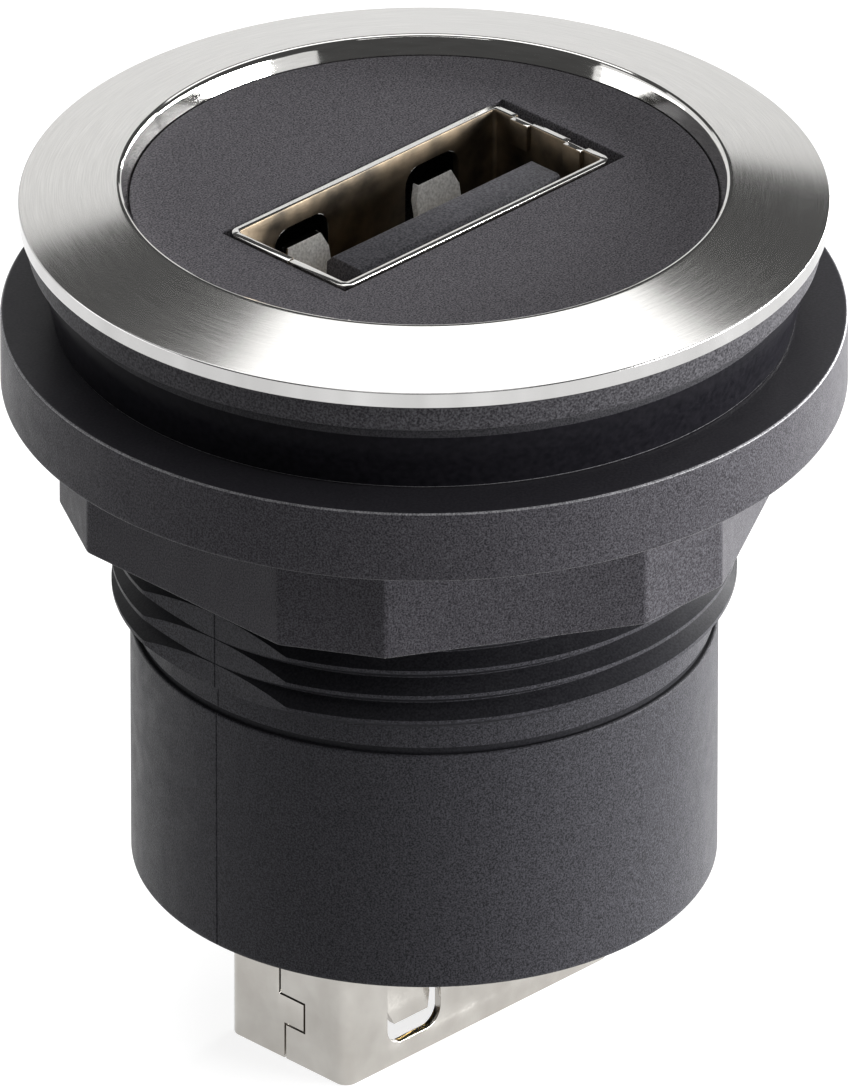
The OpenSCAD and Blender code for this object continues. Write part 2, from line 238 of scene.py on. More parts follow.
mouldTexture = {
    "tones": (0.36, 0.66),  # values of the grain between which it goes from dark to light
    "broadScale": 12,  # size of the broad unevenness over that of the grain
    "broadShare": 0.4,  # its part in the relief
    "roughness": (-0.05, 0.08),  # its effect on the given gloss
    "sheenRoughness": 0.3,
}


def mouldedPlastic(
    name, dark, light, grainSize, grainDepth, gloss, shine=0.10, sheen=0.0, texture=mouldTexture,
):
    finish, tree, shader = newFinish(name)
    shader.inputs["Specular IOR Level"].default_value = shine
    shader.inputs["Sheen Weight"].default_value = sheen
    shader.inputs["Sheen Roughness"].default_value = texture["sheenRoughness"]
    fine = grain(tree, grainSize, 3.0)
    broad = grain(tree, texture["broadScale"] * grainSize, 3.0)
    tree.links.new(colourBetween(tree, fine, dark, light, *texture["tones"]), shader.inputs["Base Color"])
    least, most = texture["roughness"]
    tree.links.new(between(tree, broad, gloss + least, gloss + most), shader.inputs["Roughness"])
    uneven = combine(tree, "MULTIPLY", broad, texture["broadShare"])
    relief(tree, shader, combine(tree, "ADD", fine, uneven), grainDepth)
    return finish


# grain sizes and depths in millimetres
finishes = {
    "brushed": turnedSteel(
        "brushedSteel", (0.66, 0.65, 0.63), (0.76, 0.75, 0.73),
        grainSize=0.03, detail=3.0, spread=0.25, roughness=(0.125, 0.15), depth=0.0002, anisotropy=0.3,
    ),
    "polished": turnedSteel(
        "polishedSteel", (0.66, 0.65, 0.63), (0.76, 0.75, 0.73),
        grainSize=0.05, detail=2.0, spread=0.4, roughness=(0.04, 0.08), depth=0.0001,
    ),
    "rim": turnedSteel(
        "rimSteel", (0.46, 0.455, 0.45), (0.56, 0.555, 0.55),
        grainSize=0.05, detail=2.0, spread=0.4, roughness=(0.14, 0.18), depth=0.0001,
    ),
    "nickel": nickelSheet(
        "nickelSheet", (0.41, 0.39, 0.361), (0.495, 0.476, 0.446), cloudSize=1.6, gloss=0.12,
    ),
    # painted shade: the shells' inner walls get a darker, brown-tinged colour for the shade inside the socket
    "inside": nickelSheet(
        "nickelInsidePaintedShade", (0.10, 0.085, 0.068), (0.33, 0.26, 0.18), cloudSize=1.2, gloss=0.40,
    ),
    # painted light: the spring fingers sit in the socket's shade, so they get a near-white, non-metallic
    # colour that stands in for light on them
    "finger": nickelSheet(
        "fingerPaintedLight", (0.58, 0.57, 0.55), (0.98, 0.97, 0.95), cloudSize=0.10, gloss=0.62, metallic=0.0,
    ),
    "face": mouldedPlastic(
        "facePlastic", (0.042, 0.040, 0.045), (0.156, 0.149, 0.162),
        grainSize=0.06, grainDepth=0.006, gloss=0.50, shine=0.02,
    ),
    "housing": mouldedPlastic(
        "housingPlastic", (0.010, 0.010, 0.012), (0.056, 0.055, 0.064),
        grainSize=0.06, grainDepth=0.012, gloss=0.46, sheen=0.34,
    ),
    "collar": mouldedPlastic(
        "collarPlastic", (0.016, 0.015, 0.018), (0.082, 0.080, 0.088),
        grainSize=0.08, grainDepth=0.012, gloss=0.46, sheen=0.10,
    ),
    # painted shade: the thread's flanks and the groove get a near-black colour that stands in for their
    # shadow
    "valley": mouldedPlastic(
        "valleyPaintedShade", (0.008, 0.008, 0.010), (0.018, 0.018, 0.021),
        grainSize=0.08, grainDepth=0.004, gloss=0.46,
    ),
    # painted highlight: a lighter colour on rounded edges stands in for the thin light lines that light draws
    # along them
    "edge": mouldedPlastic(
        "edgePaintedHighlight", (0.07, 0.07, 0.075), (0.26, 0.256, 0.27),
        grainSize=0.06, grainDepth=0.006, gloss=0.30, shine=0.4,
    ),
    "nut": mouldedPlastic(
        "nutPlastic", (0.014, 0.013, 0.016), (0.076, 0.073, 0.083),
        grainSize=0.06, grainDepth=0.012, gloss=0.48, sheen=0.40,
    ),
    "smooth": mouldedPlastic(
        "smoothPlastic", (0.018, 0.017, 0.021), (0.030, 0.029, 0.034),
        grainSize=0.10, grainDepth=0.003, gloss=0.38, shine=0.2,
    ),
    "tongue": mouldedPlastic(
        "tonguePlastic", (0.038, 0.037, 0.043), (0.112, 0.110, 0.122),
        grainSize=0.07, grainDepth=0.004, gloss=0.40,
    ),
    "lip": mouldedPlastic(
        "lipRubber", (0.012, 0.012, 0.014), (0.040, 0.039, 0.044),
        grainSize=0.06, grainDepth=0.008, gloss=0.50, sheen=0.12,
    ),
    "rubber": plainFinish(
        "sealRubber", (0.0055, 0.0055, 0.007), (0.0105, 0.010, 0.0125),
        grainSize=0.25, detail=3.0, roughness=(0.30, 0.40), depth=0.002, shine=0.02,
    ),
    "gold": plainFinish(
        "contactGold", (0.72, 0.50, 0.20), (0.86, 0.64, 0.30),
        grainSize=0.3, detail=3.0, roughness=(0.22, 0.36), depth=0.001, metallic=1.0,
    ),
    "laminate": plainFinish(
        "boardLaminate", (0.012, 0.060, 0.025), (0.022, 0.095, 0.040),
        grainSize=0.35, detail=2.0, roughness=(0.35, 0.5), depth=0.003,
    ),
}
print("finishes made:", len(finishes))


# Mesh tools: every round piece is a closed section carried round Z
flatStart = 1.3  # of a rounding's length: a point there keeps the flat beside it flat
mergeDistance = 0.0004  # mm


def partWay(here, way, length):
    return here + way.normalized() * min(length, way.length / 2)


def roundSection(corners, steps=4):
    # corners are (radius, height, cut); a cut above zero rounds the corner over that length
    points = []
    for place, (r, z, cut) in enumerate(corners):
        if not cut:
            points.append((r, z))
            continue
        here = Vector((r, z))
        before = Vector(corners[place - 1][:2]) - here
        after = Vector(corners[(place + 1) % len(corners)][:2]) - here
        start, end = partWay(here, before, cut), partWay(here, after, cut)
        points.append(tuple(partWay(here, before, flatStart * cut)))
        for step in range(steps + 1):
            share = step / steps
            points.append(tuple(start * (1 - share) ** 2 + here * 2 * share * (1 - share) + end * share ** 2))
        points.append(tuple(partWay(here, after, flatStart * cut)))
    return points


def evenAngles(count, extra=(), start=0.0):
    turn = 2 * math.pi
    even = [start + turn * step / count for step in range(count)]
    return sorted(even + [start + (angle - start) % turn for angle in extra])


def finishMesh(name, mesh, sharpAngle):
    work = bmesh.new()
    work.from_mesh(mesh)
    bmesh.ops.remove_doubles(work, verts=work.verts, dist=mergeDistance * mm)
    bmesh.ops.dissolve_degenerate(work, edges=work.edges, dist=mergeDistance * mm)
    bmesh.ops.recalc_face_normals(work, faces=work.faces)
    work.to_mesh(mesh)
    work.free()
    mesh.polygons.foreach_set("use_smooth", [True] * len(mesh.polygons))
    mesh.set_sharp_from_angle(angle=math.radians(sharpAngle))
    piece = bpy.data.objects.new(name, mesh)
    scene.collection.objects.link(piece)
    return piece


def ringMesh(name, angles, sectionAt, sharpAngle=32, helix=(0, 0, 0)):
    # helix is the first row of a thread, its number of rows, and the rows it climbs in a turn
    sections = [sectionAt(angle) for angle in angles]
    rows = len(sections[0])
    first, count, climb = helix
    points = [
        (r * math.cos(angle) * mm, r * math.sin(angle) * mm, z * mm)
        for angle, section in zip(angles, sections) for r, z in section
    ]

    def nextRow(row, closing):
        if closing and first <= row < first + count:
            return min(max(row - climb, first), first + count - 1)
        return row

    faces = []
    for column in range(len(angles)):
        closing = column == len(angles) - 1
        here, there = column * rows, (column + 1) % len(angles) * rows
        for row in range(rows):
            below = (row + 1) % rows
            loop = (
                here + row, there + nextRow(row, closing),
                there + nextRow(below, closing), here + below,
            )
            if len(set(loop)) > 2:
                faces.append(tuple(dict.fromkeys(loop)))
    mesh = bpy.data.meshes.new(name)
    mesh.from_pydata(points, [], faces)
    return finishMesh(name, mesh, sharpAngle)


def paintFaces(piece, names, finishAt):
    # finishAt names the finish of a face, given its distance from the axis and its height
    for name in names:
        piece.data.materials.append(finishes[name])
    for face in piece.data.polygons:
        spot = math.hypot(face.center.x, face.center.y) / mm
        face.material_index = names.index(finishAt(face, spot, face.center.z / mm))


def dress(piece, body, slot, *nodes):
    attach(piece, body)
    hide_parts(*nodes)


def reachToBox(angle, centreX, halfX, halfY):
    # distance from the axis to the edge of a rectangle, along one direction
    across, along = math.cos(angle), math.sin(angle)
    reaches = []
    if abs(across) > tiny:
        reaches.append((centreX + math.copysign(halfX, across)) / across)
    if abs(along) > tiny:
        reaches.append(halfY / abs(along))
    return min(reaches)


def boxCornerAngles(centreX, halfX, halfY):
    return [math.atan2(sy * halfY, centreX + sx * halfX) for sx in (-1, 1) for sy in (-1, 1)]


# Bezel: brushed cone between a polished rim and a polished lip
bezelShape = {
    "columns": 288,
    "steps": 6,  # in a rounding
    "sharpAngle": 15,
    "openRadius": 10.35,
    "faceHeight": 4.55,
    "seatRadius": 11.55,
    "edgeHeight": 4.39,  # where the cone would meet the upright rim
    "crownRadius": 10.6,  # where the cone would meet the leaning wall
    "crownHeight": 5.234,
    "ledgeHeight": 4.27,
    "footCut": 0.12,
    "edgeCut": 0.05,
    "lipCut": 0.2,
    "coneFacing": 0.9,  # least upward part of a normal on the brushed cone
}


def makeBezel(shape):
    low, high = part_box("bezel_ring")
    rim, foot = high.x / mm, low.z / mm
    section = roundSection([
        (shape["seatRadius"], foot, 0),
        (rim, foot, shape["footCut"]),
        (rim, shape["edgeHeight"], shape["edgeCut"]),
        (shape["crownRadius"], shape["crownHeight"], shape["lipCut"]),
        (shape["openRadius"], shape["faceHeight"], 0),
        (shape["openRadius"], shape["ledgeHeight"], 0),
        (shape["seatRadius"], shape["ledgeHeight"], 0),
    ], shape["steps"])
    piece = ringMesh("bezelRing", evenAngles(shape["columns"]), lambda angle: section, shape["sharpAngle"])

    def finishAt(face, spot, height):
        if spot > rim - shape["edgeCut"]:
            return "rim"
        outsideLip = spot > shape["crownRadius"] + shape["lipCut"]
        return "brushed" if outsideLip and face.normal.z > shape["coneFacing"] else "polished"

    paintFaces(piece, ("brushed", "polished", "rim"), finishAt)
    dress(piece, "connector", "bezel_steel", "bezel_ring")


makeBezel(bezelShape)
print("bezel made")


# Face: flat plastic disc with the socket opening and a skirt down to the board
faceShape = {
    "columns": 240,
    "steps": 3,
    "faceRadius": 10.3,
    "flangeTop": 4.22,
    "flangeFoot": 3.77,
    "skirtInner": 7.95,
    "skirtOuter": 8.85,
    "openHalfX": 6.95,
    "openHalfY": 3.02,
    "edgeCut": 0.05,
}


def makeFace(shape):
    low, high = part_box("face_insert")
    top, foot, flange = high.z / mm, low.z / mm, high.x / mm
    opening = (0.0, shape["openHalfX"], shape["openHalfY"])

    def sectionAt(angle):
        reach = reachToBox(angle, *opening)
        return roundSection([
            (reach, shape["flangeFoot"], 0),
            (reach, top, shape["edgeCut"]),
            (shape["faceRadius"], top, shape["edgeCut"]),
            (shape["faceRadius"], shape["flangeTop"], 0),
            (flange, shape["flangeTop"], 0),
            (flange, shape["flangeFoot"], 0),
            (shape["skirtOuter"], shape["flangeFoot"], 0),
            (shape["skirtOuter"], foot, 0),
            (shape["skirtInner"], foot, 0),
            (shape["skirtInner"], shape["flangeFoot"], 0),
        ], shape["steps"])

    piece = ringMesh("faceInsert", evenAngles(shape["columns"], boxCornerAngles(*opening)), sectionAt)
    piece.data.materials.append(finishes["face"])
    dress(piece, "connector", "face_plastic", "face_insert")


makeFace(faceShape)
print("face made")


# Thread: one right-hand helix shared by the housing and the nut
threadShape = {
    "pitch": 1.0,
    "crestRadius": 11.0,
    "rootRadius": 10.4,
    "crestWidth": 0.14,
    "rootWidth": 0.04,
    "crestAtZero": -11.08,  # height of the last crest, carried back to the +X direction
    "start": math.radians(45),  # where the last crest begins, on the far side
    "runIn": math.radians(40),  # over which it grows to its full size
}
threadLines = 4  # edge lines of the thread to a turn


def threadHalves(shape):
    return shape["rootWidth"] / 2 / shape["pitch"], shape["crestWidth"] / 2 / shape["pitch"]


def threadDepth(share, shape):
    # 0 at the root and 1 on the crest; share counts pitches downwards from a root
    halfRoot, halfCrest = threadHalves(shape)
    fromCrest = abs(share % 1.0 - 0.5)
    return min(1.0, max(0.0, (0.5 - halfRoot - fromCrest) / (0.5 - halfRoot - halfCrest)))


def threadRows(angle, shape, top, foot, cut=1.0):
    # height and depth of the thread's edge lines at one angle, from the top down
    # cut is the part of the depth that a mould flat leaves
    pitch = shape["pitch"]
    halfRoot, halfCrest = threadHalves(shape)
    flankEnd = halfRoot + (0.5 - halfCrest - halfRoot) * cut
    above = math.ceil((top - shape["crestAtZero"]) / pitch) + 1  # turns over the last crest
    root = shape["crestAtZero"] + pitch * (0.5 + angle / (2 * math.pi))
    rows = []
    for turn in range(above + 1):
        for share in (halfRoot, flankEnd, 1 - flankEnd, 1 - halfRoot):
            height = min(top, max(foot, root + pitch * (above - turn - share)))
            rows.append((height, threadDepth((root - height) / pitch, shape)))
    full, last = rows[:-threadLines], rows[-threadLines:]
    grown = min(1.0, (angle - shape["start"]) / shape["runIn"])
    before = full[-1][0]
    return full + [(before + (height - before) * grown, depth * grown) for height, depth in last]


# Housing: collar, thread with two mould flats, band, groove and barrel, split by a mould line
housingShape = {
    "columns": 450,
    "sharpAngle": 28,
    "topCut": 0.08,
    "collarFoot": 2.72,
    "collarCut": 0.16,
    "neckRadius": 11.0,
    "flatX": 10.42,
    "bandRadius": 10.25,
    "bandGap": 0.02,  # from the last line of the thread down to the band
    "bandCut": 0.05,
    "grooveTop": -11.9,
    "grooveFoot": -12.15,
    "grooveRadius": 10.15,
    "barrelCut": 0.08,  # rounding under the groove
    "barrelRadius": 10.35,
    "footCut": 0.16,
    "boreRadius": 8.9,
    "ledge": -12.05,
    "lowerBore": 8.1,
    "floorTop": -20.0,
    "openX": -0.2,
    "openHalfX": 6.75,
    "openHalfY": 3.02,
    "openCut": 0.06,
    "mouldLineWidth": 0.07,
    "mouldLineDepth": 0.04,
    "valleyShadeReach": 0.2,  # how far inside the thread's root its painted shade goes
    "grooveShadeReach": 0.1,  # the same for the groove
    "flankFacing": 0.3,  # least upward or downward part of a normal on a flank
}


def makeHousing(shape, thread):
    low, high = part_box("housing")
    top, foot, collar = high.z / mm, low.z / mm, high.x / mm
    opening = (shape["openX"], shape["openHalfX"], shape["openHalfY"])
    halfLine = shape["mouldLineWidth"] / 2 / shape["barrelRadius"]
    depth = thread["crestRadius"] - thread["rootRadius"]

    def mouldLine(angle):
        # thin groove down both sides, where the two mould halves met
        away = min(abs(angle % math.pi), math.pi - angle % math.pi)
        return shape["mouldLineDepth"] * max(0.0, 1 - away / halfLine)

    def sectionAt(angle):
        dip = mouldLine(angle)
        flat = shape["flatX"] / max(tiny, abs(math.cos(angle)))
        outer = roundSection([
            (shape["boreRadius"], top, 0),
            (collar, top, shape["topCut"]),
            (collar, shape["collarFoot"], shape["collarCut"]),
            (shape["neckRadius"], shape["collarFoot"], 0),
            (shape["neckRadius"], 0, 0),
        ])
        left = min(1.0, (flat - thread["rootRadius"]) / depth)
        rows = [
            (min(thread["rootRadius"] + depth * part, flat) - dip, height)
            for height, part in threadRows(angle, thread, 0.0, shape["grooveTop"], left)
        ]
        barrel = shape["barrelRadius"] - dip
        reach = reachToBox(angle, *opening)
        lower = roundSection([
            (shape["bandRadius"] - dip, rows[-1][1] - shape["bandGap"], 0),
            (shape["bandRadius"] - dip, shape["grooveTop"], shape["bandCut"]),
            (shape["grooveRadius"], shape["grooveTop"], 0),
            (shape["grooveRadius"], shape["grooveFoot"], 0),
            (barrel, shape["grooveFoot"], shape["barrelCut"]),
            (barrel, foot, shape["footCut"]),
            (reach, foot, shape["openCut"]),
            (reach, shape["floorTop"], 0),
            (shape["lowerBore"], shape["floorTop"], 0),
            (shape["lowerBore"], shape["ledge"], 0),
            (shape["boreRadius"], shape["ledge"], 0),
        ])
        return outer + rows + lower

    def finishAt(face, spot, height):
        if height > shape["collarFoot"]:
            return "collar"
        # the thread's flanks and the groove take the darker colour: painted shade
        onThread = shape["grooveTop"] < height < 0 and spot > thread["rootRadius"] - shape["valleyShadeReach"]
        onFlank = onThread and abs(face.normal.z) > shape["flankFacing"]
        atGroove = shape["grooveFoot"] < height < shape["grooveTop"]
        inGroove = atGroove and spot > shape["grooveRadius"] - shape["grooveShadeReach"]
        return "valley" if onFlank or inGroove else "housing"

    lineAngles = [side + step * halfLine / 2 for side in (0, math.pi) for step in (-2, -1, 0, 1, 2)]
    angles = evenAngles(shape["columns"], boxCornerAngles(*opening) + lineAngles, thread["start"])
    first = next(row for row, point in enumerate(sectionAt(angles[0])) if point[1] <= 0) + 1
    count = len(threadRows(angles[0], thread, 0.0, shape["grooveTop"]))
    helix = (first, count, threadLines)
    piece = ringMesh("threadedHousing", angles, sectionAt, shape["sharpAngle"], helix)
    paintFaces(piece, ("housing", "collar", "valley"), finishAt)
    dress(piece, "connector", "housing_plastic", "housing")


makeHousing(housingShape, threadShape)
print("housing made")


# Sealing ring: soft bulging ring under the collar
sealShape = {
    "columns": 240,
    "steps": 6,
    "sharpAngle": 40,
    "innerRadius": 11.05,
    "footRadius": 13.0,
    "footCut": 0.12,
    "waistSwell": 0.12,  # over the foot's radius
    "waistShare": 0.25,  # of the height
    "waistCut": 0.5,
    "bulgeShare": 0.62,  # of the height
    "bulgeCut": 0.6,
    "topCut": 0.35,
    "lipShare": 0.82,  # of the height, above which the ring is grained like the collar
    "footHighlight": 0.1,  # height of the painted highlight line at the foot
    "underFacing": -0.7,  # upward part of a normal, under which a face is the underside
}


def makeSeal(shape):
    low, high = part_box("sealing_ring")
    bulge, top = high.x / mm, high.z / mm
    section = roundSection([
        (shape["innerRadius"], 0, 0),
        (shape["footRadius"], 0, shape["footCut"]),
        (shape["footRadius"] + shape["waistSwell"], top * shape["waistShare"], shape["waistCut"]),
        (bulge, top * shape["bulgeShare"], shape["bulgeCut"]),
        (bulge, top, shape["topCut"]),
        (shape["innerRadius"], top, 0),
    ], shape["steps"])
    piece = ringMesh("sealingRing", evenAngles(shape["columns"]), lambda angle: section, shape["sharpAngle"])

    def finishAt(face, spot, height):
        if height > top * shape["lipShare"]:
            return "lip"
        # a thin band at the foot gets the lighter edge colour: a painted highlight
        return "edge" if height < shape["footHighlight"] and face.normal.z > shape["underFacing"] else "rubber"

    paintFaces(piece, ("rubber", "lip", "edge"), finishAt)
    dress(piece, "seal", "seal_rubber", "sealing_ring")


makeSeal(sealShape)
print("sealing ring made")


# Nut: round flange over a hexagon with cut corners, threaded inside
nutShape = {
    "columns": 360,
    "flangeHeight": 2.7,
    "edgeCut": 0.12,
    "flatReach": 12.0,
    "cornerReach": 12.75,
    "facetTurn": math.pi / 6,  # from a flat to the next cut corner
    "sharpness": 500,  # of the edges between the facets
    "facetSight": 0.3,  # cosine under which a facet doesn't count in a direction
    "facetStep": 0.0025,  # radians between the extra columns at an edge between facets
    "facetColumns": 4,  # of them on each side
    "hexTopCut": 0.12,
    "hexFootCut": 0.1,
    "boreRadius": 11.05,
    "ridgeRadius": 10.55,
    "lead": 0.4,
    "crestWidth": 0.04,
    "rootWidth": 0.2,
    "threadGap": 0.02,  # between the thread and the ends of the bore
    "fade": 0.3,  # height over which the ridges end
    "topFacing": 0.97,  # least upward part of a normal on the flange's top
    "edgeFacing": 0.15,  # the same on its top edge, which carries a painted highlight
}


def makeNut(shape, thread):
    low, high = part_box("mounting_nut")
    flange, foot = high.x / mm, low.z / mm
    ridge = shape["boreRadius"] - shape["ridgeRadius"]
    boreFoot = foot + shape["lead"]
    # the nut's ridges lie in the valleys of the housing's thread
    inside = dict(
        thread, crestAtZero=thread["crestAtZero"] + thread["pitch"] / 2,
        crestWidth=shape["crestWidth"], rootWidth=shape["rootWidth"],
    )

    def hexReach(angle):
        # six flats and six cut corners in turn
        total = 0.0
        for facet in range(12):
            facing = math.cos(angle - shape["facetTurn"] * facet)
            if facing > shape["facetSight"]:
                reach = shape["cornerReach"] if facet % 2 else shape["flatReach"]
                total += (facing * shape["flatReach"] / reach) ** shape["sharpness"]
        return shape["flatReach"] * total ** (-1 / shape["sharpness"])

    def ridgeRows(angle):
        return threadRows(angle, inside, -shape["threadGap"], boreFoot + shape["threadGap"])

    def sectionAt(angle):
        reach = hexReach(angle)
        outer = roundSection([
            (flange, 0, shape["edgeCut"]),
            (flange, -shape["flangeHeight"], shape["edgeCut"]),
            (reach, -shape["flangeHeight"], shape["hexTopCut"]),
            (reach, foot, shape["hexFootCut"]),
            (shape["boreRadius"] + shape["lead"], foot, 0),
            (shape["boreRadius"], boreFoot, 0),
            (shape["boreRadius"], 0, 0),
        ])
        inner = []
        for height, rise in reversed(ridgeRows(angle)):
            ends = min(1.0, -height / shape["fade"], (height - boreFoot) / shape["fade"])
            inner.append((shape["boreRadius"] - ridge * rise * max(0.0, ends), height))
        return outer[:-1] + inner + outer[-1:]

    def finishAt(face, spot, height):
        if face.normal.z > shape["topFacing"] and spot > shape["boreRadius"]:
            return "smooth"
        # the flange's rounded top edge gets the lighter edge colour: a painted highlight
        onHighlightEdge = spot > flange - shape["edgeCut"] and face.normal.z > shape["edgeFacing"]
        return "edge" if onHighlightEdge else "nut"

    turn = shape["facetTurn"]
    tilt = math.atan((shape["cornerReach"] / shape["flatReach"] - math.cos(turn)) / math.sin(turn))
    edges = [2 * turn * flat + side * tilt for flat in range(6) for side in (-1, 1)]
    beside = range(-shape["facetColumns"], shape["facetColumns"] + 1)
    extra = [edge + step * shape["facetStep"] for edge in edges for step in beside]
    angles = evenAngles(shape["columns"], extra, thread["start"])
    count = len(ridgeRows(angles[0]))
    first = len(sectionAt(angles[0])) - 1 - count
    piece = ringMesh("mountingNut", angles, sectionAt, helix=(first, count, -threadLines))
    paintFaces(piece, ("nut", "smooth", "edge"), finishAt)
    dress(piece, "nut", "nut_plastic", "mounting_nut")


makeNut(nutShape, threadShape)
print("nut made")


# Sheet and small parts: the solids themselves with their sharp edges broken
softening = {
    "merge": 0.0005,  # mm
    "flatAngle": 0.5,  # degrees under which neighbouring faces become one
    "cornerAngle": 35,  # degrees over which an edge is broken
    "steps": 2,
    "sharpAngle": 30,
}
sheetParts = {
    "front_shell": ("frontShell", "nickel", "shell_nickel", 0.05),  # the last is the edge's cut in mm
    "rear_shell": ("rearShell", "nickel", "shell_nickel", 0.05),
    "front_insulator": ("frontTongue", "tongue", "tongue_plastic", 0.06),
    "rear_insulator": ("rearTongue", "tongue", "tongue_plastic", 0.06),
    "link_board": ("linkBoard", "laminate", "board_laminate", 0.05),
}
for end in ("front", "rear"):
    for number in range(1, 5):
        sheetParts[f"{end}_contact_{number}"] = (f"{end}Contact{number}", "gold", "contact_gold", 0.04)


def softenedCopy(node, name, cut, shape):
    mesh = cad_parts[node].data.copy()
    mesh.materials.clear()
    if "custom_normal" in mesh.attributes:
        mesh.attributes.remove(mesh.attributes["custom_normal"])
    work = bmesh.new()
    work.from_mesh(mesh)
    bmesh.ops.remove_doubles(work, verts=work.verts, dist=shape["merge"] * mm)
    bmesh.ops.dissolve_limit(
        work, angle_limit=math.radians(shape["flatAngle"]), verts=work.verts, edges=work.edges,
        use_dissolve_boundaries=False,
    )
    least = math.radians(shape["cornerAngle"])
    corners = [e for e in work.edges if len(e.link_faces) == 2 and e.calc_face_angle() > least]
    bmesh.ops.bevel(
        work, geom=corners, offset=cut * mm, offset_type="OFFSET", segments=shape["steps"], profile=0.5,
        affect="EDGES", clamp_overlap=True,
    )
    work.to_mesh(mesh)
    work.free()
    return finishMesh(name, mesh, shape["sharpAngle"])


# Shells: the inside of the sheet is painted darker as painted shade, the spring fingers are painted pale and
# not metallic as painted light, and the mouth's edge is bright
shellShape = {
    "centreX": -0.2,
    "windowX": 3.25,
    "fingerHalf": 1.1,
    "tipGap": 0.7,  # from the mouth's end of a window to the tip of its finger
    "tipBand": 0.1,
    "tipTaper": 0.78,
    "inwardFacing": -0.5,  # outward part of a normal times the distance, under which a face is inside
    "edgeFacing": 0.3,  # least upward or downward part of a normal on a cut edge
    "front_shell": (-3.4, 3.8),  # heights of the spring windows
    "rear_shell": (-26.7, -19.5),
}


def taperFingers(piece, shape, span):
    # the fingers narrow at their tips, which lie at the mouth's end of the windows
    tip = span[1] - shape["tipGap"] if span[1] > 0 else span[0] + shape["tipGap"]
    for vert in piece.data.vertices:
        across = vert.co.x / mm - shape["centreX"]
        middle = math.copysign(shape["windowX"], across)
        if abs(vert.co.z / mm - tip) < shape["tipBand"] and abs(across - middle) < shape["fingerHalf"]:
            vert.co.x = (shape["centreX"] + middle + (across - middle) * shape["tipTaper"]) * mm


def paintShell(piece, shape, span):
    def finishAt(face, spot, height):
        across, along = face.center.x / mm - shape["centreX"], face.center.y / mm
        atWindow = span[0] < height < span[1]
        # inward faces take the darker inside colour as painted shade; the fingers take the pale colour as
        # painted light
        if face.normal.x * across + face.normal.y * along < shape["inwardFacing"]:
            besideFinger = abs(abs(across) - shape["windowX"]) > shape["fingerHalf"]
            return "finger" if atWindow and not besideFinger else "inside"
        return "polished" if abs(face.normal.z) > shape["edgeFacing"] and not atWindow else "nickel"

    paintFaces(piece, ("nickel", "inside", "finger", "polished"), finishAt)


# Tongues: they narrow towards their tips and end close behind the mouth
tongueShape = {
    "centreX": -0.2,
    "tipBand": 0.45,
    "tipLift": 0.3,
    "sideBand": 5.0,
    "sideCut": 0.6,
    "front_insulator": 1,  # which way the tip points along Z
    "rear_insulator": -1,
}


def trimTongue(piece, shape, way):
    tip = max(way * vert.co.z for vert in piece.data.vertices)
    for vert in piece.data.vertices:
        if tip - way * vert.co.z < shape["tipBand"] * mm:
            vert.co.z += way * shape["tipLift"] * mm
            across = vert.co.x / mm - shape["centreX"]
            if abs(across) > shape["sideBand"]:
                vert.co.x -= math.copysign(shape["sideCut"] * mm, across)


for node, (name, finish, slot, cut) in sheetParts.items():
    piece = softenedCopy(node, name, cut, softening)
    if node in shellShape:
        taperFingers(piece, shellShape, shellShape[node])
        paintShell(piece, shellShape, shellShape[node])
    else:
        piece.data.materials.append(finishes[finish])
    if node in tongueShape:
        trimTongue(piece, tongueShape, tongueShape[node])
    dress(piece, "connector", slot, node)
print("sheet parts made:", len(sheetParts))


# Stage: white floor in a pale round wall with a gap near the camera, both clear from behind
stageSetup = {
    "radius": 1.4,  # m
    "segments": 96,
    "wall": 0.73,
    "wallLean": 0.4,  # rise of the wall's top edge towards the left of the picture
    "gapTurn": 17,  # degrees from the camera to the middle of the gap in the wall, leftwards
    "gap": (0.5, 0.695),  # cosines between which the wall ends on both sides of the gap
    "gapWall": 0.02,  # part of the wall's height that is left in the gap
    "paint": (0.42, 0.42, 0.42),
    "floorGlow": 0.82,  # lifts the floor to white for the eye and for reflections
    "wallGlow": 0.78,
}


def stagePaint(name, colour, level):
    paint = bpy.data.materials.new(name)
    paint.use_nodes = True
    tree = paint.node_tree
    tree.nodes.clear()
    output = tree.nodes.new("ShaderNodeOutputMaterial")
    matt = tree.nodes.new("ShaderNodeBsdfDiffuse")
    matt.inputs["Color"].default_value = (*colour, 1)
    glow = tree.nodes.new("ShaderNodeEmission")
    path = tree.nodes.new("ShaderNodeLightPath")
    seen = combine(tree, "MAXIMUM", path.outputs["Is Camera Ray"], path.outputs["Is Glossy Ray"])
    seen = combine(tree, "MAXIMUM", seen, path.outputs["Is Transmission Ray"])
    tree.links.new(combine(tree, "MULTIPLY", seen, level), glow.inputs["Strength"])
    lit = tree.nodes.new("ShaderNodeAddShader")
    tree.links.new(matt.outputs["BSDF"], lit.inputs[0])
    tree.links.new(glow.outputs["Emission"], lit.inputs[1])
    clear = tree.nodes.new("ShaderNodeBsdfTransparent")
    side = tree.nodes.new("ShaderNodeNewGeometry")
    mix = tree.nodes.new("ShaderNodeMixShader")
    tree.links.new(side.outputs["Backfacing"], mix.inputs["Fac"])
    tree.links.new(lit.outputs["Shader"], mix.inputs[1])
    tree.links.new(clear.outputs["BSDF"], mix.inputs[2])
    tree.links.new(mix.outputs["Shader"], output.inputs["Surface"])
    return paint


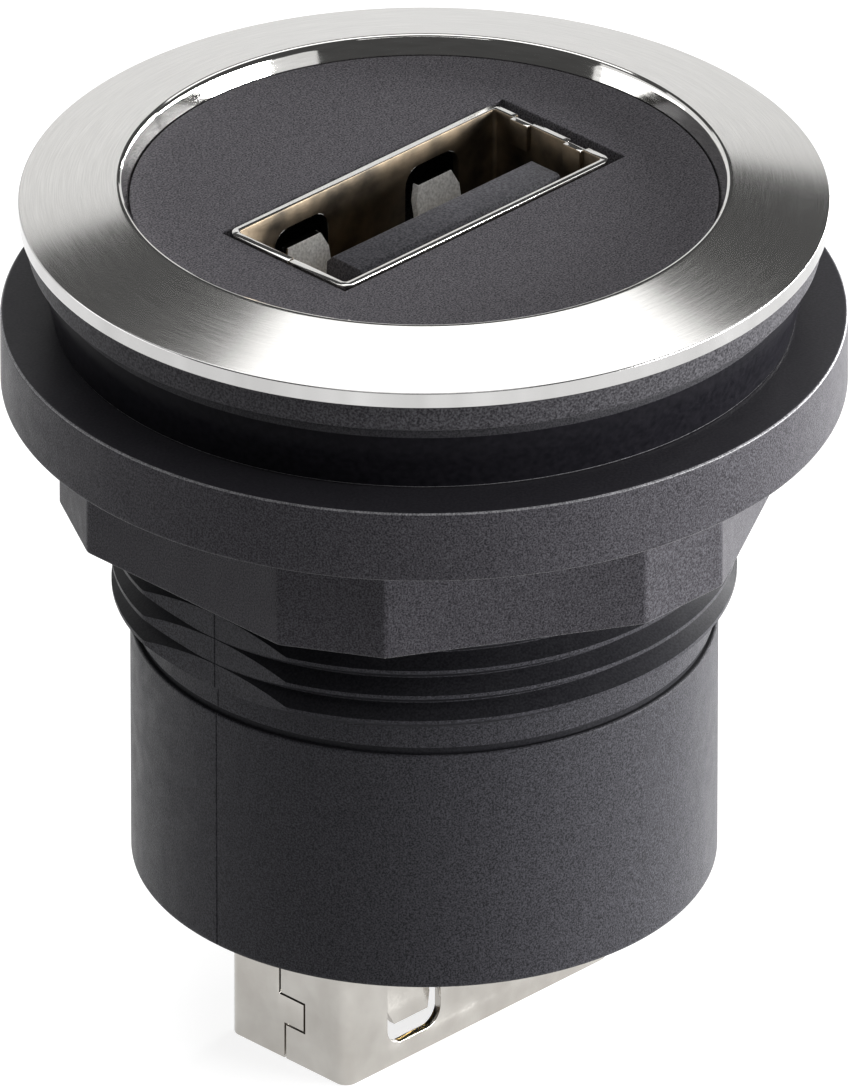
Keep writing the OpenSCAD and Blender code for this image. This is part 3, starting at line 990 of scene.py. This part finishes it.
def makeStage(setup):
    work = bmesh.new()
    bmesh.ops.create_circle(work, cap_ends=True, segments=setup["segments"], radius=setup["radius"])
    rim = [edge for edge in work.edges if len(edge.link_faces) == 1]
    raised = bmesh.ops.extrude_edge_only(work, edges=rim)["geom"]
    leftwards = directionOf(cameraSetup["azimuth"] - 90, 0)
    frontwards = directionOf(cameraSetup["azimuth"] - setup["gapTurn"], 0)
    shut, clear = setup["gap"]
    for vert in (v for v in raised if isinstance(v, bmesh.types.BMVert)):
        facing = vert.co.normalized().dot(frontwards)
        share = min(1.0, max(setup["gapWall"], (clear - facing) / (clear - shut)))
        vert.co.z += share * (setup["wall"] + setup["wallLean"] * vert.co.dot(leftwards))
    bmesh.ops.recalc_face_normals(work, faces=work.faces)
    if next(face for face in work.faces if len(face.verts) > 4).normal.z < 0:
        bmesh.ops.reverse_faces(work, faces=work.faces)
    mesh = bpy.data.meshes.new("floor")
    work.to_mesh(mesh)
    work.free()
    floor = bpy.data.objects.new("floor", mesh)
    floor.location.z = cadBox[0].z
    mesh.materials.append(stagePaint("floorPaint", setup["paint"], setup["floorGlow"]))
    mesh.materials.append(stagePaint("wallPaint", setup["paint"], setup["wallGlow"]))
    for face in mesh.polygons:
        face.material_index = int(len(face.vertices) == 4)
    scene.collection.objects.link(floor)


makeStage(stageSetup)


# Lights: soft boxes given by direction, distance, size and brightness, and an even grey sky
lightSetup = {
    "back": {
        "azimuth": 135, "elevation": 67, "roll": 14,
        "distance": 0.7, "width": 0.72, "height": 0.4, "level": 1.9,
    },
    "right": {
        "azimuth": 41, "elevation": 6, "roll": 0,
        "distance": 0.6, "width": 0.6, "height": 0.14, "level": 41.0,
    },
    "rim": {
        "azimuth": 88, "elevation": 8, "roll": 0,
        "distance": 0.6, "width": 0.35, "height": 0.17, "level": 30.0,
    },
    "front": {
        "azimuth": -45, "elevation": 60, "roll": 0,
        "distance": 0.7, "width": 0.5, "height": 0.3, "level": 2.4,
    },
    "left": {
        "azimuth": -135, "elevation": 9, "roll": 0,
        "distance": 0.6, "width": 0.45, "height": 0.16, "level": 2.25,
    },
}
lightTarget = Vector((0, 0, -0.009))
worldLevel = 0.075


def makeLights(setup):
    for name, light in setup.items():
        lamp = bpy.data.lights.new(name + "Light", "AREA")
        lamp.shape = "RECTANGLE"
        lamp.size, lamp.size_y = light["width"], light["height"]
        lamp.energy = light["level"] * math.pi * light["width"] * light["height"]
        holder = bpy.data.objects.new(name + "Light", lamp)
        holder.visible_camera = False
        scene.collection.objects.link(holder)
        away = directionOf(light["azimuth"], light["elevation"])
        aim(holder, lightTarget + away * light["distance"], lightTarget)
        holder.rotation_euler.rotate_axis("Z", math.radians(light["roll"]))
    world = bpy.data.worlds.new("studio")
    world.use_nodes = True
    sky = world.node_tree.nodes["Background"]
    sky.inputs["Color"].default_value = (1, 1, 1, 1)
    sky.inputs["Strength"].default_value = worldLevel
    scene.world = world


makeLights(lightSetup)
print("stage and lights set")
